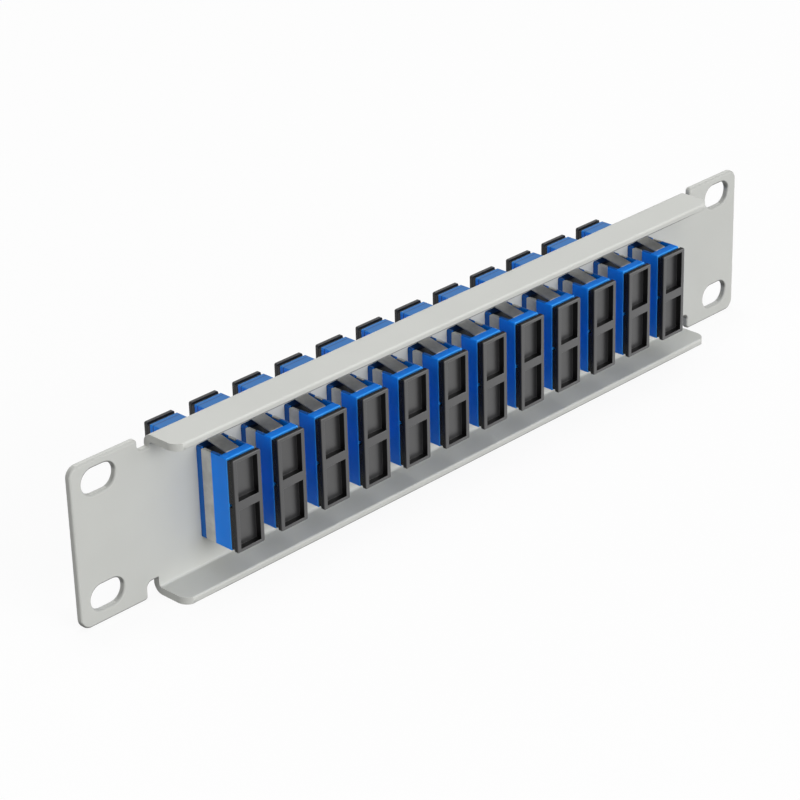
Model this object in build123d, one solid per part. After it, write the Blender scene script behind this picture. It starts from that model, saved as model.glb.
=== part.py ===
from build123d import *
import os

# A twelve-way duplex fibre patch panel, one rack unit high and ten inches long.
# X runs along the panel, Z is up, and -Y is the side that the folded flanges point to,
# which is the inside of the rack. The origin is the centre of the four rack slots, on
# the face of the ears that lies against the rack's rails. Every size is in millimetres.

# Folded sheet panel. Its own middle lies sheet_drop below the middle of slots and adapters.
panel_length = 254.0
panel_height = 44.45
sheet = 2.0
bend_inner = 0.8
flange_reach = 10.2
flange_corner = 3.5
ear_width = 21.3
ear_corner = 3.0
relief_width = 3.7
relief_past_bend = 1.175
relief_round = 1.6
relief_inner_round = 0.5
relief_corner = 0.9
edge_round = 0.6
sheet_drop = 0.6

# Rack slots. On this length and height they give the spacing of the ten inch rack standard,
# 236.525 by 31.75.
slot_from_end = 8.7375
slot_from_edge = 6.35
slot_width = 7.0
slot_length = 10.5

# Adapters: row, outside of the moulded housing, and where it passes the sheet
adapter_count = 12
adapter_pitch = 15.0
side_wall = 0.9
end_wall = 1.95
housing_length = 28.5
housing_rear = 11.0
cutout_clearance = 0.1
cutout_corner = 0.5
shoulder_rise = 0.9
shoulder_thickness = 1.5
shoulder_corner = 0.6
housing_corner = 0.35

# Ports through the housing, two to each adapter
port_pitch = 12.7
port_width = 7.5
port_height = 9.1
keyway_width = 2.6
keyway_depth = 7.0
insert_seat_wall = 0.5
insert_clearance = 0.1

# Spring clip that holds the adapter behind the sheet
clip_sheet = 0.35
clip_band = 3.5
clip_corner = 0.4
clip_side_drop = 0.15
clip_side_corner = 0.6
collar = 1.6
cheek = 0.8
end_recess = 1.5
end_recess_length = 8.4
finger_width = 4.2
finger_rise = 1.4
finger_gap = 0.3
clip_slack = 0.05

# Dust caps
cap_plate = 1.2
cap_neck = 1.0
cap_overhang = 0.1
cap_neck_inset = 0.6
cap_slit = 1.0
cap_frame = 1.25
cap_frame_end = 1.0
cap_bar = 2.5
cap_pocket_depth = 1.8
cap_corner = 0.5
plug_length = 3.6
plug_fit = 0.1
plug_wall = 1.0
plug_cavity = 2.8

# Latch inserts and alignment sleeves inside each port
insert_plate = 1.2
insert_length = 6.0
tube_outer = 4.8
sleeve_outer = 3.2
sleeve_inner = 2.5
sleeve_length = 11.4
sleeve_slit = 0.5
sleeve_running = 0.05
sleeve_lip = 0.25
arm_length = 8.4
arm_width = 2.6
arm_thickness = 0.8
arm_offset = 3.3
hook_length = 1.0
hook_rise = 0.5

# Sizes that follow from the ones above
bend_outer = bend_inner + sheet
flange_half = panel_length / 2 - ear_width - relief_width
relief_end = panel_height / 2 - bend_outer - relief_past_bend
slot_spacing_x = panel_length - 2 * slot_from_end
slot_spacing_z = panel_height - 2 * slot_from_edge
housing_width = port_width + 2 * side_wall
housing_height = port_pitch + port_height + 2 * end_wall
adapter_xs = [(i - (adapter_count - 1) / 2) * adapter_pitch for i in range(adapter_count)]
housing_front = housing_length - housing_rear
housing_middle = housing_length / 2 - housing_rear
port_zs = (-port_pitch / 2, port_pitch / 2)
groove_end = collar + clip_band + 2 * clip_slack
seat_width = housing_width - 2 * insert_seat_wall
seat_height = seat_width + port_height - port_width
cap_depth = cap_plate + cap_neck
past = 1.0


def block(x0, x1, y0, y1, z0, z1):
    """A box between two corners."""
    solid = Box(x1 - x0, y1 - y0, z1 - z0)
    return Pos((x0 + x1) / 2, (y0 + y1) / 2, (z0 + z1) / 2) * solid


def rounded_block(width, height, corner, y0, y1):
    """A bar along Y with rounded corners, centred on X and Z."""
    outline = Plane.XZ * RectangleRounded(width, height, corner)
    return Pos(0, y1, 0) * extrude(outline, amount=y1 - y0)


def make_channel():
    """The middle of the panel: the web with its two flanges folded towards -Y."""
    half = panel_height / 2
    outer = Pos((sheet - flange_reach) / 2, 0) * Rectangle(sheet + flange_reach, panel_height)
    outer = fillet(outer.vertices().group_by(Axis.X)[-1], bend_outer)
    inner_depth = flange_reach + past
    inner = Pos(-inner_depth / 2, 0) * Rectangle(inner_depth, panel_height - 2 * sheet)
    inner = fillet(inner.vertices().group_by(Axis.X)[-1], bend_inner)
    section = outer - inner
    section = fillet(section.vertices().group_by(Axis.X)[0], edge_round)
    channel = Pos(-flange_half, 0, 0) * extrude(Plane.YZ * section, amount=2 * flange_half)
    for side in (-1, 1):
        for end in (-1, 1):
            x = side * (flange_half - flange_corner)
            y = -flange_reach + flange_corner
            z = end * (half - sheet / 2)
            corner = Pos(x, y, z) * Cylinder(flange_corner, sheet + past)
            outside = block(min(x, x + side * past * 5), max(x, x + side * past * 5),
                            y - flange_corner - past, y, z - sheet, z + sheet)
            channel -= outside - corner
    return channel


def make_ear():
    """The right ear, flat, with its two rack slots and the two bend reliefs."""
    half = panel_height / 2
    length = panel_length / 2 - flange_half
    outline = Pos(flange_half + length / 2, 0) * Rectangle(length, panel_height)
    outline = fillet(outline.vertices().group_by(Axis.X)[-1], ear_corner)
    for end in (-1, 1):
        relief = Pos(flange_half + relief_width / 2,
                     sheet_drop + end * (relief_end + half / 2)) * Rectangle(relief_width, half)
        deep = 0 if end > 0 else -1
        by_ear = relief.vertices().group_by(Axis.Y)[deep].sort_by(Axis.X)[-1]
        relief = fillet(by_ear, relief_round)
        by_flange = relief.vertices().group_by(Axis.Y)[deep].sort_by(Axis.X)[0]
        outline -= fillet(by_flange, relief_inner_round)
        slot_place = Pos(slot_spacing_x / 2, sheet_drop + end * slot_spacing_z / 2)
        outline -= slot_place * SlotOverall(slot_length, slot_width)
    corners = [v for v in outline.vertices()
               if abs(v.X - flange_half - relief_width) < 0.001 and abs(abs(v.Y) - half) < 0.001]
    outline = fillet(corners, relief_corner)
    ear = Pos(0, sheet, 0) * extrude(Plane.XZ * outline, amount=sheet)
    rims = [e for e in ear.edges()
            if not (e.center().Y > 0.001 and e.center().Y < sheet - 0.001)
            and abs(e.center().X - flange_half) > 0.001]
    return fillet(rims, edge_round)


def make_panel():
    """The whole folded sheet: web, flanges, ears and the twelve adapter cut-outs."""
    ear = make_ear()
    panel = Pos(0, 0, -sheet_drop) * (make_channel() + ear + mirror(ear, about=Plane.YZ))
    cutout = rounded_block(housing_width + 2 * cutout_clearance,
                           housing_height + 2 * cutout_clearance,
                           cutout_corner, -past, sheet + past)
    for x in adapter_xs:
        panel -= Pos(x, 0, 0) * cutout
    return panel


def make_clip():
    """The sprung steel clip: side plates hooked over the housing, cross plates and fingers."""
    outer_x = housing_width / 2
    outer_z = housing_height / 2 - end_recess + clip_sheet
    y_front = -collar - clip_slack
    y_back = y_front - clip_band
    side_z = housing_height / 2 - clip_side_drop
    side_outline = Pos((y_back + y_front) / 2, 0) * RectangleRounded(
        clip_band, 2 * side_z, clip_side_corner)
    band = block(-outer_x + clip_sheet / 2, outer_x - clip_sheet / 2, y_back, y_front,
                 -outer_z, outer_z)
    for side in (-1, 1):
        plate = extrude(Plane.YZ * side_outline, amount=clip_sheet)
        band += Pos(side * (outer_x - clip_sheet / 2) - clip_sheet / 2, 0, 0) * plate
        for end in (-1, 1):
            x0, x1 = sorted((side * (outer_x - cheek), side * (outer_x - clip_sheet / 2)))
            z0, z1 = sorted((end * (side_z - clip_sheet), end * side_z))
            band += block(x0, x1, y_back + clip_side_corner, y_front - clip_side_corner, z0, z1)
    band -= rounded_block(2 * (outer_x - clip_sheet), 2 * (outer_z - clip_sheet),
                          clip_corner, y_back - past, y_front + past)
    z_low = outer_z - clip_sheet
    z_root = housing_height / 2 - clip_slack
    z_tip = housing_height / 2 + finger_rise
    fold_outer = (z_root - z_low) / 2
    fold_y = -end_recess_length + fold_outer + clip_slack
    half_width = finger_width / 2
    base = block(-half_width, half_width, fold_y, y_back, z_low, z_low + clip_sheet)
    fold = Pos(0, fold_y, z_low + fold_outer) * Rot(0, 90, 0) * (
        Cylinder(fold_outer, finger_width) - Cylinder(fold_outer - clip_sheet, finger_width + past))
    fold &= block(-half_width, half_width, fold_y - fold_outer - past, fold_y,
                  z_low - past, z_root + past)
    leg_side = Polyline((fold_y, z_root - clip_sheet), (fold_y, z_root), (-finger_gap, z_tip),
                        (-finger_gap, z_tip - clip_sheet), close=True)
    leg = Pos(-half_width, 0, 0) * extrude(Plane.YZ * make_face(leg_side), amount=finger_width)
    finger = base + fold + leg
    return band + finger + mirror(finger, about=Plane.XY)


def make_housing():
    """The moulded adapter housing, with its two ports, clip groove and stop shoulder."""
    half_x = housing_width / 2
    half_z = housing_height / 2
    housing = rounded_block(housing_width, housing_height, housing_corner,
                            -housing_rear, housing_front)
    housing += rounded_block(housing_width + 2 * shoulder_rise, housing_height + 2 * shoulder_rise,
                             shoulder_corner, sheet, sheet + shoulder_thickness)
    floor_z = half_z - end_recess
    groove_x = half_x - clip_sheet
    groove = block(-half_x - past, half_x + past, -groove_end, -collar,
                   -half_z - past, half_z + past)
    groove -= rounded_block(2 * groove_x, 2 * floor_z, clip_corner,
                            -groove_end - past, -collar + past)
    housing -= groove
    cheek_top = half_z - clip_side_drop - clip_sheet
    for end in (-1, 1):
        for side in (-1, 1):
            x0, x1 = sorted((side * (half_x - cheek), side * groove_x))
            z0, z1 = sorted((end * (floor_z + clip_sheet + clip_slack), end * cheek_top))
            housing += block(x0, x1, -groove_end, -collar, z0, z1)
        z0, z1 = sorted((end * floor_z, end * (half_z + past)))
        housing -= block(-half_x + cheek, half_x - cheek, -end_recess_length, 0, z0, z1)
    seat_length = 2 * insert_plate + insert_clearance
    for z in port_zs:
        housing -= block(-port_width / 2, port_width / 2, -housing_rear - past,
                         housing_front + past, z - port_height / 2, z + port_height / 2)
        housing -= block(-seat_width / 2, seat_width / 2, housing_middle - seat_length / 2,
                         housing_middle + seat_length / 2, z - seat_height / 2, z + seat_height / 2)
        for y0, y1 in ((-housing_rear - past, -housing_rear + keyway_depth),
                       (housing_front - keyway_depth, housing_front + past)):
            if y0 < -housing_rear:
                y1 = min(y1, -groove_end - past)
            housing -= block(0, half_x + past, y0, y1, z - keyway_width / 2, z + keyway_width / 2)
    return housing


def make_cap():
    """A duplex dust cap whose back sits on y = 0 and whose plugs point to +Y."""
    plate_width = housing_width
    plate_height = housing_height + 2 * cap_overhang
    cap = rounded_block(plate_width, plate_height, cap_corner, -cap_depth, -cap_neck)
    neck_top = housing_height / 2 - cap_neck_inset
    neck_half = housing_width / 2 - clip_slack
    for end in (-1, 1):
        z0, z1 = sorted((end * cap_slit / 2, end * neck_top))
        cap += block(-neck_half, neck_half, -cap_neck, 0, z0, z1)
        plug_x = port_width / 2 - plug_fit
        plug_z = port_height / 2 - plug_fit
        z = end * port_pitch / 2
        cap += block(-plug_x, plug_x, 0, plug_length, z - plug_z, z + plug_z)
        cap -= block(-plug_x + plug_wall, plug_x - plug_wall, plug_length - plug_cavity,
                     plug_length + past, z - plug_z + plug_wall, z + plug_z - plug_wall)
        pocket_z = sorted((end * cap_bar / 2, end * (plate_height / 2 - cap_frame_end)))
        cap -= block(-plate_width / 2 + cap_frame, plate_width / 2 - cap_frame,
                     -cap_depth - past, -cap_depth + cap_pocket_depth, *pocket_z)
    return cap


def make_insert():
    """One latch insert: seat plate, sleeve tube and two latch arms that point to -Y."""
    plate_x = seat_width / 2 - insert_clearance
    plate_z = seat_height / 2 - insert_clearance
    gap = insert_clearance / 4
    insert = block(-plate_x, plate_x, -gap - insert_plate, -gap, -plate_z, plate_z)
    along = Rot(90, 0, 0)
    insert += Pos(0, -(gap + insert_length) / 2 - gap / 2, 0) * along * Cylinder(
        tube_outer / 2, insert_length - gap)
    bore = sleeve_outer / 2 + sleeve_running
    depth = insert_length - sleeve_lip
    insert -= Pos(0, -depth / 2, 0) * along * Cylinder(bore, depth)
    insert -= Pos(0, -insert_length / 2, 0) * along * Cylinder(sleeve_inner / 2, insert_length * 2)
    for end in (-1, 1):
        z0, z1 = sorted((end * arm_offset, end * (arm_offset + arm_thickness)))
        tip = -insert_plate - arm_length
        insert += block(-arm_width / 2, arm_width / 2, tip, -insert_plate, z0, z1)
        h0, h1 = sorted((end * (arm_offset - hook_rise), end * arm_offset))
        insert += block(-arm_width / 2, arm_width / 2, tip, tip + hook_length, h0, h1)
    return insert


def make_sleeve():
    """A split alignment sleeve, centred on its own middle and lying along Y."""
    tube = Cylinder(sleeve_outer / 2, sleeve_length) - Cylinder(sleeve_inner / 2, sleeve_length + past)
    tube -= Pos(sleeve_outer / 2, 0, 0) * Box(sleeve_outer, sleeve_slit, sleeve_length + past)
    return Rot(90, 0, 0) * tube


def turned(solid):
    """The same piece turned half round, to face the other way along Y."""
    return Rot(0, 0, 180) * solid


def save(shape, name):
    shape.label = name
    export_step(shape, f"parts/{name}.step")


def in_every_port(piece, y):
    """Separate copies of a small inner piece, one in each port of the panel."""
    return Compound(children=[Pos(x, y, z) * piece for x in adapter_xs for z in port_zs])


os.makedirs("parts", exist_ok=True)
save(make_panel(), "panel")

housing = make_housing()
clip = make_clip()
cap = make_cap()
for number, x in enumerate(adapter_xs, start=1):
    save(Pos(x, 0, 0) * housing, f"adapter_housing_{number:02d}")
    save(Pos(x, 0, 0) * clip, f"adapter_clip_{number:02d}")
    save(Pos(x, -housing_rear, 0) * cap, f"rear_dust_cap_{number:02d}")
    save(Pos(x, housing_front, 0) * turned(cap), f"front_dust_cap_{number:02d}")

insert = make_insert()
save(in_every_port(insert, housing_middle), "rear_latch_inserts")
save(in_every_port(turned(insert), housing_middle), "front_latch_inserts")
save(in_every_port(make_sleeve(), housing_middle), "alignment_sleeves")
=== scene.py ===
# Dresses the packed fibre patch panel and lights it for its photograph. Everything is in
# metres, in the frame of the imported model: X along the panel, Z up, -Y the way its flanges
# point, and the origin in the middle of the four rack slots.
import math

import bmesh
import bpy
from mathutils import Matrix, Vector


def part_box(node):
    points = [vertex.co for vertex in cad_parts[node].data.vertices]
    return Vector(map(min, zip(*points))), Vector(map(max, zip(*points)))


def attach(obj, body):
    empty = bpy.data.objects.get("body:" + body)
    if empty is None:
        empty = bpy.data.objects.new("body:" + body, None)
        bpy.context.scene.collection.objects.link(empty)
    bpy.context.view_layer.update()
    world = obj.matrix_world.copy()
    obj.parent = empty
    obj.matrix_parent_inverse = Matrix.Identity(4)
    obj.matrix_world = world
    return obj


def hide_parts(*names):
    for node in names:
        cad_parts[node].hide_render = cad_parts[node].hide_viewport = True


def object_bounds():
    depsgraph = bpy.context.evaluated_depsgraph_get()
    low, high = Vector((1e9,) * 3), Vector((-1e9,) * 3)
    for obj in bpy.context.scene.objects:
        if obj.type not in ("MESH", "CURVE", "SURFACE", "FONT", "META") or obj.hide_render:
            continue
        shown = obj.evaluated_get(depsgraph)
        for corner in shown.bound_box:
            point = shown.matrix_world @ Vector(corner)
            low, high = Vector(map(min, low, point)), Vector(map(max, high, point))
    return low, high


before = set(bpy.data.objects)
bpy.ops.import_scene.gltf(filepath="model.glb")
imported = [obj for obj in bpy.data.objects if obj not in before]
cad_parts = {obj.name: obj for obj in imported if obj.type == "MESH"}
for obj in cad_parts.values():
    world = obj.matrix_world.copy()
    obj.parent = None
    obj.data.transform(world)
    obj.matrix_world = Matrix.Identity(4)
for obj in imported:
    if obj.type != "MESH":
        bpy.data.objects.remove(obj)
cad_low, cad_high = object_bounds()

MM = 0.001
X, Y, Z = 0, 1, 2

# The row of adapters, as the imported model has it. A housing's collar ends COLLAR behind the
# sheet, and a cap stands CAP_REACH past its housing.
ADAPTER_COUNT = 12
ADAPTER_PITCH = 15.0 * MM
HOUSING_REAR = -11.0 * MM
HOUSING_FRONT = 17.5 * MM
PORT_HALF = 3.9 * MM
PORTS_TOP = 11.5 * MM
COLLAR = 1.6 * MM
MOULD_SEAM = 16.1 * MM
CAP_REACH = 2.2 * MM

# The recess above and below each adapter, from its floor up and from the sheet back, where
# little light comes back and the plastic and steel get painted shade
RECESS_FLOOR = 11.0 * MM
RECESS_TOP = 12.1 * MM
RECESS_LENGTH = 8.4 * MM

# The pockets of the caps, from the middle of an adapter and from the cap's face in
POCKET_HALF = 3.8 * MM
POCKET_TOP = 12.2 * MM
POCKET_DEPTH = 1.9 * MM

# The folded sheet. The web's rear face is at y = 0, and nothing of the web lies behind
# WEB_BACK. Its cut-outs lie within CUTOUT_TOP of the middle. The flanges' edges lie behind
# FLANGE_EDGE, and run straight as far as FLANGE_STRAIGHT from the middle.
SHEET_BOTTOM = cad_low.z
CUTOUT_TOP = 14.0 * MM
WEB_BACK = -0.5 * MM
FLANGE_EDGE = -9.4 * MM
FLANGE_STRAIGHT = 98.4 * MM

# How near to a face counts as on it
ON_A_FACE = 0.01 * MM
AT_THE_SHEET = 0.05 * MM

# The photograph's camera, solved from the panel's edges and the twelve adapters
CAMERA_AZIMUTH = -45.164
CAMERA_ELEVATION = 26.215
CAMERA_ROLL = -1.618
CAMERA_DISTANCE = 734.05 * MM
CAMERA_TARGET = Vector((-15.62, 0.0, -1.25)) * MM
CAMERA_NEAR = 10.0 * MM
FOCAL_PIXELS = 2772.6
FRAME_PIXELS = 800
SENSOR_WIDTH = 36.0

# The studio: even light from all round, then each lamp's name, place, width in metres and
# power in watts
WHITE = (1.0, 1.0, 1.0, 1.0)
WORLD_LIGHT = 0.15
LAMPS = (
    ("top light", (0.3, 0.3, 2.2), 1.6, 28.0),
    ("front light", (0.0, -2.0, 0.35), 1.4, 32.0),
    ("front light from the right", (1.3, -1.7, 0.6), 1.2, 10.0),
    ("high front light", (-0.2, -1.6, 1.5), 1.2, 7.5),
    ("light from the left", (-2.0, -0.4, 0.7), 1.2, 10.5),
    ("light from behind", (0.4, 2.4, 0.5), 1.6, 15.0),
)

# The floor: its half width and its drop below the sheet, how much light it throws back, how
# pale the camera sees it, and how much of that is plain white
FLOOR_HALF = 4.0
FLOOR_DROP = 0.02 * MM
FLOOR_BOUNCE = 0.14
FLOOR_SEEN = 0.86
FLOOR_WHITE = 0.90

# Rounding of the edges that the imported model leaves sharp
SHEET_ROUND = 0.35 * MM
CUTOUT_ROUND = 0.12 * MM
MOULD_ROUND = 0.20 * MM
INSERT_ROUND = MOULD_ROUND / 2
RIM_ROUND = 0.32 * MM
CAP_ROUND = 0.30 * MM
FRAME_ROUND = 0.12 * MM
POCKET_ROUND = 0.10 * MM
CLIP_ROUND = 0.07 * MM
SLEEVE_ROUND = 0.04 * MM

# Which edges those are: they turn by more than an angle in degrees. Within RIM_REACH of an
# end an edge belongs to its rim, and within OUTLINE_REACH of a cap's side to its outline.
SHARP_ANGLE = 35.0
SHEET_SHARP_ANGLE = 50.0
RIM_REACH = 0.4 * MM
OUTLINE_REACH = 0.6 * MM

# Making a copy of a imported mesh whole: points this near are one, faces that turn by less
# than LEVEL_ANGLE are one, shading is smooth under SMOOTH_ANGLE, and large faces rule it by
# FACE_WEIGHT
WELD = 0.002 * MM
LEVEL_ANGLE = 0.5
SMOOTH_ANGLE = 40.0
FACE_WEIGHT = 80

# Bands of tone, in from an end, a seam or the flanges' corners: full up to the first number,
# and gone at the second. The housings' band is a painted highlight; the flanges' band ends
# the painted shade on their edges before the corners, and the collar's blur softens its
# painted shade
HOUSING_HIGHLIGHT_BAND = (0.15 * MM, 0.45 * MM)
CAP_RIM = (0.3 * MM, 0.9 * MM)
SEAM = (0.10 * MM, 0.28 * MM)
STRAIGHT_EDGE = (FLANGE_STRAIGHT - 10.0 * MM, FLANGE_STRAIGHT)
COLLAR_BLUR = 0.1 * MM

# How squarely a surface faces along an axis, from 0 to 1: more than half counts as facing
# it, past FLAT it is no edge's rounding, and under FORWARD it doesn't face the front
HALF = 0.5
FLAT = 0.97
FORWARD = 0.1

# Colours of the finishes, and of a painted highlight on the housings' rims and painted shade
# on the housings before the sheet and in their recesses
COAT_GREY = (0.560, 0.567, 0.540)
BLUE = (0.002, 0.245, 0.980)
BLUE_PAINTED_HIGHLIGHT = (0.060, 0.420, 1.000)
BLUE_PAINTED_SHADE = (0.003, 0.110, 0.270)
BLUE_PAINTED_RECESS_SHADE = (0.003, 0.006, 0.018)
BLACK = (0.0085, 0.0085, 0.0092)
STEEL = (0.615, 0.605, 0.580)
CERAMIC = (0.800, 0.790, 0.750)


# Shader maths

class Wire:
    """A shader value, with arithmetic: an output socket of a material's tree."""

    def __init__(self, tree, socket):
        self.tree = tree
        self.socket = socket

    def math(self, operation, *others):
        """A maths node with this value first."""
        return self.tree.maths(operation, self, *others)

    def __add__(self, other):
        return self.math("ADD", other)

    def __sub__(self, other):
        return self.math("SUBTRACT", other)

    def __rsub__(self, other):
        return self.tree.maths("SUBTRACT", other, self)

    def __mul__(self, other):
        return self.math("MULTIPLY", other)

    def __abs__(self):
        return self.math("ABSOLUTE")

    __radd__ = __add__
    __rmul__ = __mul__

    def __gt__(self, other):
        return self.math("GREATER_THAN", other)

    def __lt__(self, other):
        return self.math("LESS_THAN", other)


class Finish:
    """A material under construction: one Principled shader and what feeds it."""

    def __init__(self, name, **constants):
        self.material = bpy.data.materials.new(name)
        self.material.use_nodes = True
        self.nodes = self.material.node_tree.nodes
        self.links = self.material.node_tree.links
        self.shader = self.nodes["Principled BSDF"]
        for key, value in constants.items():
            self.shader.inputs[key.replace("_", " ")].default_value = value
        self.place = self.node("ShaderNodeTexCoord", {}, {}, "Object")

    def node(self, kind, settings, inputs, output=0):
        """Adds any node: its settings first, then its sockets' values or links."""
        made = self.nodes.new(kind)
        for key, value in settings.items():
            setattr(made, key, value)
        for key, value in inputs.items():
            if isinstance(value, Wire):
                self.links.new(value.socket, made.inputs[key])
            else:
                made.inputs[key].default_value = value
        return Wire(self, made.outputs[output])

    def maths(self, operation, *values):
        """A maths node of wires and plain numbers."""
        return self.node("ShaderNodeMath", {"operation": operation}, dict(enumerate(values)))

    def noise(self, scale, detail=2.0, roughness=0.5, stretch=(1.0, 1.0, 1.0)):
        """Noise on the piece's own coordinates, centred on one half."""
        place = self.node("ShaderNodeVectorMath", {"operation": "MULTIPLY"},
                          {0: self.place, 1: stretch})
        return self.node("ShaderNodeTexNoise", {},
                         {"Vector": place, "Scale": scale, "Detail": detail,
                          "Roughness": roughness})

    def along(self, axis):
        """One of the piece's own coordinates, in metres."""
        return self.node("ShaderNodeSeparateXYZ", {}, {0: self.place}, axis)

    def across_adapter(self):
        """The distance along X from the middle of the nearest adapter."""
        return self.along(X).math("FLOORED_MODULO", ADAPTER_PITCH) - ADAPTER_PITCH / 2

    def depth(self, reach=0.0):
        """How far in from the nearer end of a housing, or from faces that reach past it."""
        y = self.along(Y)
        from_rear = y - (HOUSING_REAR - reach)
        from_front = (HOUSING_FRONT + reach) - y
        return from_rear.math("MINIMUM", from_front)

    def mix(self, factor, first, second):
        """A colour between two colours, each a tuple or a wire."""
        made = self.nodes.new("ShaderNodeMix")
        made.data_type = "RGBA"
        for index, value in ((0, factor), (6, first), (7, second)):
            if isinstance(value, Wire):
                self.links.new(value.socket, made.inputs[index])
            elif index == 0:
                made.inputs[index].default_value = value
            else:
                made.inputs[index].default_value = (*value, 1.0)
        return Wire(self, made.outputs[2])

    def facing(self, axis):
        """How squarely a surface faces along one axis: from minus one to one."""
        normal = self.node("ShaderNodeNewGeometry", {}, {}, "Normal")
        return self.node("ShaderNodeSeparateXYZ", {}, {0: normal}, axis)

    def in_the_recess(self):
        """One on the floor and the end wall of an adapter's recess, zero elsewhere."""
        height = abs(self.along(Z))
        level = abs(self.facing(Z)) > HALF
        on_the_floor = (height < RECESS_TOP) * level
        at_the_sheet = abs(self.along(Y)) < AT_THE_SHEET
        return (height > RECESS_FLOOR) * on_the_floor.math("MAXIMUM", at_the_sheet)

    def step(self, value, low, high):
        """Zero below low, one above high, and a soft rise between them."""
        return self.node("ShaderNodeMapRange", {"interpolation_type": "SMOOTHSTEP"},
                         {"Value": value, "From Min": low, "From Max": high,
                          "To Min": 0.0, "To Max": 1.0})

    def band(self, value, limits):
        """One up to the first limit, and a soft fall to zero at the second."""
        return 1.0 - self.step(value, *limits)

    def tint(self, tone, where, share, colour):
        """A tone with a share of a colour laid over it, where a mask is one."""
        return self.mix(where * share, tone, colour)

    def mottled(self, colour, cloud, dark, light):
        """A colour that wavers between two shades of itself with a noise."""
        return self.mix(self.step(cloud, 0.3, 0.7), shade(colour, dark), shade(colour, light))

    def bump(self, height, distance, strength, over=None):
        """Relief of a given depth, on the plain surface or over another relief."""
        inputs = {"Height": height, "Distance": distance, "Strength": strength}
        if over is not None:
            inputs["Normal"] = over
        return self.node("ShaderNodeBump", {}, inputs)

    def feed(self, **sockets):
        """Links values to the shader's inputs, and gives the finished material."""
        for key, value in sockets.items():
            self.links.new(value.socket, self.shader.inputs[key.replace("_", " ")])
        return self.material


def shade(colour, factor):
    """A colour made lighter or darker by a factor."""
    return tuple(channel * factor for channel in colour)


def powder_coat():
    """Light grey powder coat: a fine orange peel, and painted shade on the edges that turn
    away.
    """
    coat = Finish("light grey powder coat", IOR=1.5, Specular_IOR_Level=0.3)
    cloud = coat.noise(scale=60.0)
    speck = coat.noise(scale=2600.0, detail=1.0)
    tone = coat.mottled(COAT_GREY, cloud, dark=0.985, light=1.012)
    tone = coat.tint(tone, coat.step(speck, low=0.62, high=0.8), share=0.25,
                     colour=shade(COAT_GREY, 0.92))
    y = coat.along(Y)
    on_the_ears = y > -AT_THE_SHEET
    on_a_flange = (y < FLANGE_EDGE) * coat.band(abs(coat.along(X)), STRAIGHT_EDGE)
    on_the_edges = on_the_ears.math("MAXIMUM", on_a_flange)
    up = coat.facing(Z)
    rounding = (abs(up) < FLAT) * (coat.facing(Y) < FORWARD)
    # Painted shade: the rounded edges that turn down, on the ears and the flanges, are
    # darkened
    painted_shade_lower_edge = coat.step(up * -1.0, low=0.01, high=0.40) * rounding * on_the_edges
    tone = coat.tint(tone, painted_shade_lower_edge, share=0.85, colour=shade(COAT_GREY, 0.22))
    # Painted shade: the rounded edges of the ears that turn up are darkened
    painted_shade_upper_edge = coat.step(up, low=0.05, high=0.65) * rounding * on_the_ears
    tone = coat.tint(tone, painted_shade_upper_edge, share=0.6, colour=shade(COAT_GREY, 0.60))
    peel = coat.noise(scale=900.0, roughness=0.55)
    grain = coat.noise(scale=3200.0, detail=1.0)
    normal = coat.bump(peel, distance=0.035 * MM, strength=0.5)
    normal = coat.bump(grain, distance=0.010 * MM, strength=0.5, over=normal)
    roughness = 0.40 + 0.10 * cloud + 0.04 * speck
    return coat.feed(Base_Color=tone, Roughness=roughness, Normal=normal)


def blue_plastic():
    """Moulded blue plastic: fine spark-eroded grain, faint flow lines, a seam, a painted
    highlight on the rims and painted shade.
    """
    blue = Finish("moulded blue plastic", IOR=1.49, Specular_IOR_Level=0.3)
    flow = blue.noise(scale=140.0, detail=3.0, roughness=0.55, stretch=(1.0, 1.0, 0.25))
    tone = blue.mottled(BLUE, flow, dark=0.94, light=1.05)
    y = blue.along(Y)
    behind_the_sheet = y < 0.0
    # Painted shade: the collar beside the sheet is darkened
    collar = blue.step(y, -COLLAR - COLLAR_BLUR, -COLLAR) * behind_the_sheet
    tone = blue.tint(tone, collar, share=0.68, colour=shade(BLUE, 0.22))
    level = abs(blue.facing(Z))
    # Painted shade: level faces near the sheet, under the top flange, are darkened
    painted_shade_beside_the_recess = (y > -RECESS_LENGTH) * behind_the_sheet * (level > HALF)
    tone = blue.tint(tone, painted_shade_beside_the_recess, share=0.6, colour=shade(BLUE, 0.12))
    # Painted highlight: a paler blue on the housings' rims at both ends
    painted_highlight_rims = blue.band(blue.depth(), HOUSING_HIGHLIGHT_BAND)
    tone = blue.tint(tone, painted_highlight_rims, share=0.6, colour=BLUE_PAINTED_HIGHLIGHT)
    # Painted shade: level faces of the housings before the sheet are darkened
    painted_shade_before_the_sheet = level * (y > 0.0)
    tone = blue.tint(tone, painted_shade_before_the_sheet, share=0.75, colour=BLUE_PAINTED_SHADE)
    seam = blue.band(abs(y - MOULD_SEAM), SEAM)
    tone = blue.tint(tone, seam, share=0.7, colour=shade(BLUE, 0.18))
    # Painted shade: the recess's floor and end wall are made nearly black
    tone = blue.tint(tone, blue.in_the_recess(), share=0.9, colour=BLUE_PAINTED_RECESS_SHADE)
    grain = blue.noise(scale=4200.0, roughness=0.6)
    normal = blue.bump(grain, distance=0.010 * MM, strength=0.45)
    normal = blue.bump(flow, distance=0.06 * MM, strength=0.25, over=normal)
    roughness = 0.34 + 0.10 * flow + 0.04 * grain
    return blue.feed(Base_Color=tone, Roughness=roughness, Normal=normal)


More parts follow.
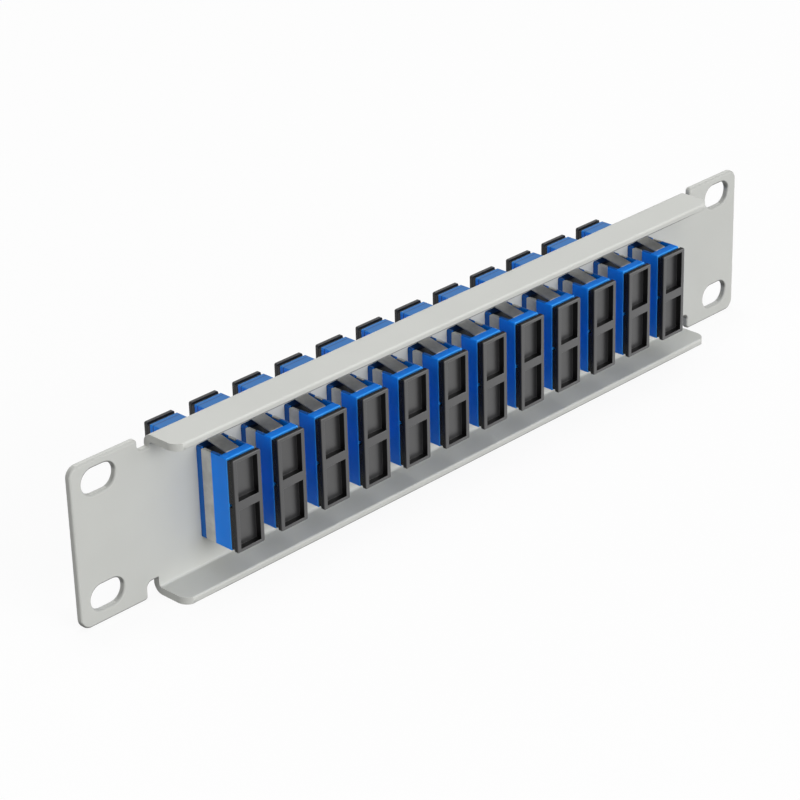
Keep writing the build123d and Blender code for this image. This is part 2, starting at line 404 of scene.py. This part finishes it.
def black_plastic():
    """Moulded black plastic: faces across the pull shine, the walls along it stay dark, and
    the pockets' walls get painted shade.
    """
    black = Finish("moulded black plastic", IOR=1.5, Specular_IOR_Level=0.3,
                   Coat_Roughness=0.34, Coat_IOR=1.65)
    depth = black.depth(CAP_REACH)
    rim = black.band(depth, CAP_RIM)
    flow = black.noise(scale=180.0, detail=3.0, roughness=0.6)
    tone = black.tint(BLACK, rim, share=0.8, colour=shade(BLACK, 1.45))
    tone = black.tint(tone, black.step(flow, low=0.35, high=0.75), share=0.35,
                      colour=shade(BLACK, 1.35))
    across_the_pull = abs(black.facing(Y))
    within_a_pocket = ((abs(black.across_adapter()) < POCKET_HALF)
                       * (abs(black.along(Z)) < POCKET_TOP) * (depth < POCKET_DEPTH))
    # Painted shade: the pockets' walls are made nearly black
    painted_shade_pocket_walls = within_a_pocket * (across_the_pull < HALF)
    tone = black.tint(tone, painted_shade_pocket_walls, share=0.9, colour=shade(BLACK, 0.05))
    grain = black.noise(scale=3600.0, roughness=0.65)
    normal = black.bump(grain, distance=0.010 * MM, strength=0.3)
    roughness = 0.32 + 0.04 * rim + 0.06 * flow
    return black.feed(Base_Color=tone, Roughness=roughness, Normal=normal,
                      Coat_Weight=black.step(across_the_pull, low=0.4, high=0.9))


def spring_steel():
    """Rolled spring steel with fine drawn lines, an uneven dull film, and painted shade in
    the recess.
    """
    steel = Finish("rolled spring steel", Metallic=1.0)
    lines = steel.noise(scale=1600.0, detail=3.0, roughness=0.6, stretch=(1.0, 6.0, 0.12))
    film = steel.noise(scale=260.0, detail=3.0, roughness=0.6)
    tone = steel.mottled(STEEL, film, dark=0.86, light=1.08)
    # Painted shade: the clips' plates in the recess are made nearly black
    tone = steel.tint(tone, steel.in_the_recess(), share=0.85, colour=shade(STEEL, 0.06))
    normal = steel.bump(lines, distance=0.012 * MM, strength=0.5)
    roughness = 0.30 + 0.12 * lines + 0.10 * film
    return steel.feed(Base_Color=tone, Roughness=roughness, Normal=normal)


def ceramic():
    """Ground white ceramic, nearly smooth."""
    white = Finish("ground white ceramic", IOR=2.1)
    cloud = white.noise(scale=900.0)
    tone = white.mix(cloud, shade(CERAMIC, 0.97), CERAMIC)
    grain = white.noise(scale=5200.0, detail=1.0)
    normal = white.bump(grain, distance=0.003 * MM, strength=0.4)
    return white.feed(Base_Color=tone, Roughness=0.14 + 0.08 * cloud, Normal=normal)


# Shapes

def placed(thing):
    """Puts an object into the scene."""
    bpy.context.scene.collection.objects.link(thing)
    return thing


def everywhere(middle):
    """Chooses every edge."""
    return True


def fused(node):
    """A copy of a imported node's mesh with its triangles joined and its flat faces whole."""
    shape = bmesh.new()
    shape.from_mesh(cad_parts[node].data)
    bmesh.ops.remove_doubles(shape, verts=shape.verts, dist=WELD)
    bmesh.ops.dissolve_limit(shape, angle_limit=math.radians(LEVEL_ANGLE), verts=shape.verts,
                             edges=shape.edges)
    return shape


def round_edges(shape, width, chosen, segments=3, sharper_than=SHARP_ANGLE):
    """Rounds the edges that turn by more than an angle and whose middle is chosen."""
    limit = math.radians(sharper_than)
    edges = []
    for edge in shape.edges:
        if len(edge.link_faces) == 2 and edge.calc_face_angle(0.0) > limit:
            if chosen((edge.verts[0].co + edge.verts[1].co) / 2):
                edges.append(edge)
    if edges:
        bmesh.ops.bevel(shape, geom=edges, offset=width, offset_type="OFFSET",
                        segments=segments, profile=0.5, affect="EDGES", clamp_overlap=True,
                        miter_outer="ARC")


def finished(shape, name):
    """Turns a shape into an object with smooth rounds and flat faces that look flat."""
    mesh = bpy.data.meshes.new(name)
    shape.to_mesh(mesh)
    shape.free()
    mesh.polygons.foreach_set("use_smooth", [True] * len(mesh.polygons))
    mesh.set_sharp_from_angle(angle=math.radians(SMOOTH_ANGLE))
    piece = placed(bpy.data.objects.new(name, mesh))
    weighted = piece.modifiers.new("flat faces stay flat", "WEIGHTED_NORMAL")
    weighted.keep_sharp = True
    weighted.weight = FACE_WEIGHT
    return baked(piece)


def baked(piece):
    """Applies a piece's modifiers, so that only a plain mesh is left."""
    graph = bpy.context.evaluated_depsgraph_get()
    graph.update()
    plain = bpy.data.meshes.new_from_object(piece.evaluated_get(graph))
    plain.name = piece.name
    piece.modifiers.clear()
    piece.data = plain
    return piece


def settle(piece, body, slot, material, *nodes):
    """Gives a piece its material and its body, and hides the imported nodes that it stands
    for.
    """
    piece.data.materials.clear()
    piece.data.materials.append(material)
    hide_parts(*nodes)
    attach(piece, body)


def row_tree(material):
    """Geometry nodes that repeat a mesh along X, a named count of times at a named pitch."""
    tree = bpy.data.node_groups.new("row of adapters", "GeometryNodeTree")
    face = tree.interface
    face.new_socket("Geometry", in_out="INPUT", socket_type="NodeSocketGeometry")
    face.new_socket("Count", in_out="INPUT", socket_type="NodeSocketInt")
    face.new_socket("Pitch", in_out="INPUT", socket_type="NodeSocketFloat")
    face.new_socket("Geometry", in_out="OUTPUT", socket_type="NodeSocketGeometry")
    source = tree.nodes.new("NodeGroupInput")
    step = tree.nodes.new("ShaderNodeCombineXYZ")
    line = tree.nodes.new("GeometryNodeMeshLine")
    line.mode = "OFFSET"
    copies = tree.nodes.new("GeometryNodeInstanceOnPoints")
    real = tree.nodes.new("GeometryNodeRealizeInstances")
    paint = tree.nodes.new("GeometryNodeSetMaterial")
    paint.inputs["Material"].default_value = material
    result = tree.nodes.new("NodeGroupOutput")
    for start, end in ((source.outputs["Pitch"], step.inputs["X"]),
                       (source.outputs["Count"], line.inputs["Count"]),
                       (step.outputs["Vector"], line.inputs["Offset"]),
                       (line.outputs["Mesh"], copies.inputs["Points"]),
                       (source.outputs["Geometry"], copies.inputs["Instance"]),
                       (copies.outputs["Instances"], real.inputs["Geometry"]),
                       (real.outputs["Geometry"], paint.inputs["Geometry"]),
                       (paint.outputs["Geometry"], result.inputs["Geometry"])):
        tree.links.new(start, end)
    return tree


def in_a_row(piece, material):
    """Repeats the first adapter's piece over the whole row and leaves one plain mesh."""
    tree = row_tree(material)
    row = piece.modifiers.new("row", "NODES")
    row.node_group = tree
    sizes = {"Count": ADAPTER_COUNT, "Pitch": ADAPTER_PITCH}
    for item in tree.interface.items_tree:
        if item.in_out == "INPUT" and item.name in sizes:
            row[item.identifier] = sizes[item.name]
    return baked(piece)


def numbered(stem):
    """The names of the nodes or bodies of one kind, from 01 at the -X end."""
    return [f"{stem}_{number:02d}" for number in range(1, ADAPTER_COUNT + 1)]


def make_panel(material):
    """The folded sheet, with its sharp edges rounded as the coat rounds them."""
    shape = fused("panel")
    row_half = ADAPTER_COUNT * ADAPTER_PITCH / 2

    def beside_cutouts(middle):
        return (abs(middle.x) < row_half and abs(middle.z) < CUTOUT_TOP
                and middle.y > WEB_BACK)

    def on_the_sheet(middle):
        return not beside_cutouts(middle)

    round_edges(shape, SHEET_ROUND, on_the_sheet, sharper_than=SHEET_SHARP_ANGLE)
    round_edges(shape, CUTOUT_ROUND, beside_cutouts, segments=2,
                sharper_than=SHEET_SHARP_ANGLE)
    settle(finished(shape, "folded_panel"), "panel_body", "panel_coat", material, "panel")


def make_housings(material):
    """Twelve adapter housings, from the first one's mesh."""
    shape = fused("adapter_housing_01")
    low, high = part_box("adapter_housing_01")
    middle_x = (low.x + high.x) / 2

    def from_an_end(middle):
        return min(abs(middle.y - HOUSING_REAR), abs(middle.y - HOUSING_FRONT))

    def on_the_rim(middle):
        outside = abs(middle.x - middle_x) > PORT_HALF or abs(middle.z) > PORTS_TOP
        return from_an_end(middle) < ON_A_FACE and outside

    def elsewhere(middle):
        return from_an_end(middle) >= RIM_REACH

    round_edges(shape, RIM_ROUND, on_the_rim)
    round_edges(shape, MOULD_ROUND, elsewhere, segments=2)
    piece = in_a_row(finished(shape, "adapter_housings"), material)
    settle(piece, "panel_body", "housing_plastic", material, *numbered("adapter_housing"))


def make_clips(material):
    """Twelve spring clips, from the first one's mesh."""
    shape = fused("adapter_clip_01")
    round_edges(shape, CLIP_ROUND, everywhere, segments=2)
    piece = in_a_row(finished(shape, "adapter_clips"), material)
    settle(piece, "panel_body", "clip_steel", material, *numbered("adapter_clip"))


def make_caps(material):
    """The dust caps, each on its own body, all copied from the first rear one."""
    shape = fused("rear_dust_cap_01")
    low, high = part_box("rear_dust_cap_01")
    outer = HOUSING_REAR - CAP_REACH

    def on_the_outline(middle):
        beside = (min(middle.x - low.x, high.x - middle.x) < OUTLINE_REACH
                  or min(middle.z - low.z, high.z - middle.z) < OUTLINE_REACH)
        return abs(middle.y - outer) < ON_A_FACE and beside

    def on_the_frame(middle):
        return middle.y < outer + ON_A_FACE and not on_the_outline(middle)

    def elsewhere(middle):
        return middle.y > outer + RIM_REACH

    round_edges(shape, CAP_ROUND, on_the_outline)
    round_edges(shape, FRAME_ROUND, on_the_frame, segments=2)
    round_edges(shape, POCKET_ROUND, elsewhere, segments=2)
    first = finished(shape, "dust_cap_pattern")
    middle_x = (low.x + high.x) / 2
    to_the_front = Matrix.Translation((middle_x, HOUSING_FRONT, 0.0))
    half_turn = Matrix.Rotation(math.pi, 4, "Z")
    from_the_rear = Matrix.Translation((-middle_x, -HOUSING_REAR, 0.0))
    turned = to_the_front @ half_turn @ from_the_rear
    for stem, body_stem, place in (("rear_dust_cap", "rear_cap", Matrix.Identity(4)),
                                   ("front_dust_cap", "front_cap", turned)):
        for number, node in enumerate(numbered(stem)):
            mesh = first.data.copy()
            mesh.transform(Matrix.Translation((number * ADAPTER_PITCH, 0.0, 0.0)) @ place)
            mesh.name = node + "_moulded"
            piece = placed(bpy.data.objects.new(node + "_moulded", mesh))
            settle(piece, numbered(body_stem)[number], "cap_plastic", material, node)
    bpy.data.objects.remove(first)


def make_inner(name, slot, material, node, width):
    """A group of small inner pieces, with their edges rounded to a given width."""
    shape = fused(node)
    round_edges(shape, width, everywhere, segments=2)
    settle(finished(shape, name), "panel_body", slot, material, node)


# Studio

def shown_white(nodes, links, shown, seen):
    """The factor for plain white: what is shown to the camera, and all gloss and glass."""
    for name in ("Is Glossy Ray", "Is Transmission Ray"):
        either = nodes.new("ShaderNodeMath")
        either.operation = "MAXIMUM"
        links.new(shown, either.inputs[0])
        links.new(seen.outputs[name], either.inputs[1])
        shown = either.outputs[0]
    return shown


def glow(nodes, kind, strength):
    """A white emission or background of a given strength."""
    made = nodes.new(kind)
    made.inputs["Color"].default_value = WHITE
    made.inputs["Strength"].default_value = strength
    return made


def finish_tree(nodes, links, factor, first, second, kind):
    """Mixes two shaders by a factor into the tree's output."""
    blend = nodes.new("ShaderNodeMixShader")
    for index, socket in enumerate((factor, first.outputs[0], second.outputs[0])):
        links.new(socket, blend.inputs[index])
    output = nodes.new(kind)
    links.new(blend.outputs[0], output.inputs["Surface"])


def make_floor():
    """A grey floor that looks white to the camera and in gloss, and keeps a faint shadow."""
    mesh = bpy.data.meshes.new("floor")
    half = FLOOR_HALF
    height = SHEET_BOTTOM - FLOOR_DROP
    corners = [(-half, -half, height), (half, -half, height), (half, half, height),
               (-half, half, height)]
    mesh.from_pydata(corners, [], [(0, 1, 2, 3)])
    floor = placed(bpy.data.objects.new("floor", mesh))
    material = bpy.data.materials.new("pale floor")
    material.use_nodes = True
    nodes = material.node_tree.nodes
    links = material.node_tree.links
    nodes.clear()
    seen = nodes.new("ShaderNodeLightPath")
    tone = nodes.new("ShaderNodeMix")
    tone.data_type = "RGBA"
    tone.inputs[6].default_value = (FLOOR_BOUNCE, FLOOR_BOUNCE, FLOOR_BOUNCE, 1.0)
    tone.inputs[7].default_value = (FLOOR_SEEN, FLOOR_SEEN, FLOOR_SEEN, 1.0)
    links.new(seen.outputs["Is Camera Ray"], tone.inputs[0])
    matte = nodes.new("ShaderNodeBsdfDiffuse")
    links.new(tone.outputs[2], matte.inputs["Color"])
    share = nodes.new("ShaderNodeMath")
    share.operation = "MULTIPLY"
    share.inputs[1].default_value = FLOOR_WHITE
    links.new(seen.outputs["Is Camera Ray"], share.inputs[0])
    shown = shown_white(nodes, links, share.outputs[0], seen)
    white = glow(nodes, "ShaderNodeEmission", 1.0)
    finish_tree(nodes, links, shown, matte, white, "ShaderNodeOutputMaterial")
    mesh.materials.append(material)


def make_world():
    """Even light from all round, seen as white by the camera and in reflections."""
    world = bpy.data.worlds.new("studio")
    bpy.context.scene.world = world
    world.use_nodes = True
    nodes = world.node_tree.nodes
    links = world.node_tree.links
    nodes.clear()
    seen = nodes.new("ShaderNodeLightPath")
    shown = shown_white(nodes, links, seen.outputs["Is Camera Ray"], seen)
    light = glow(nodes, "ShaderNodeBackground", WORLD_LIGHT)
    white = glow(nodes, "ShaderNodeBackground", 1.0)
    finish_tree(nodes, links, shown, light, white, "ShaderNodeOutputWorld")


def soft_light(name, place, width, power):
    """A square soft light that faces the origin, from a place in metres."""
    data = bpy.data.lights.new(name, "AREA")
    data.shape = "SQUARE"
    data.size = width
    data.energy = power
    lamp = placed(bpy.data.objects.new(name, data))
    lamp.location = place
    lamp.rotation_euler = (-Vector(place)).to_track_quat("-Z", "Y").to_euler()


def make_camera():
    """The photograph's camera, from its azimuth, elevation, roll and distance."""
    azimuth = math.radians(CAMERA_AZIMUTH)
    elevation = math.radians(CAMERA_ELEVATION)
    roll = math.radians(CAMERA_ROLL)
    back = Vector((math.sin(azimuth) * math.cos(elevation),
                   -math.cos(azimuth) * math.cos(elevation),
                   math.sin(elevation)))
    right = (-back).cross(Vector((0.0, 0.0, 1.0))).normalized()
    up = right.cross(-back)
    turned_right = right * math.cos(roll) + up * math.sin(roll)
    turned_up = up * math.cos(roll) - right * math.sin(roll)
    axes = Matrix((turned_right, turned_up, back)).transposed()
    data = bpy.data.cameras.new("camera")
    data.sensor_width = SENSOR_WIDTH
    data.lens = FOCAL_PIXELS / FRAME_PIXELS * SENSOR_WIDTH
    data.clip_start = CAMERA_NEAR
    camera = placed(bpy.data.objects.new("camera", data))
    place = CAMERA_TARGET + back * CAMERA_DISTANCE
    camera.matrix_world = Matrix.Translation(place) @ axes.to_4x4()
    bpy.context.scene.camera = camera


make_camera()
make_world()
for lamp in LAMPS:
    soft_light(*lamp)
make_floor()
bpy.context.scene.view_settings.view_transform = "Standard"

make_panel(powder_coat())
blue = blue_plastic()
make_housings(blue)
make_clips(spring_steel())
make_caps(black_plastic())
make_inner("rear_inserts", "insert_plastic", blue, "rear_latch_inserts", INSERT_ROUND)
make_inner("front_inserts", "insert_plastic", blue, "front_latch_inserts", INSERT_ROUND)
make_inner("sleeves", "sleeve_ceramic", ceramic(), "alignment_sleeves", SLEEVE_ROUND)
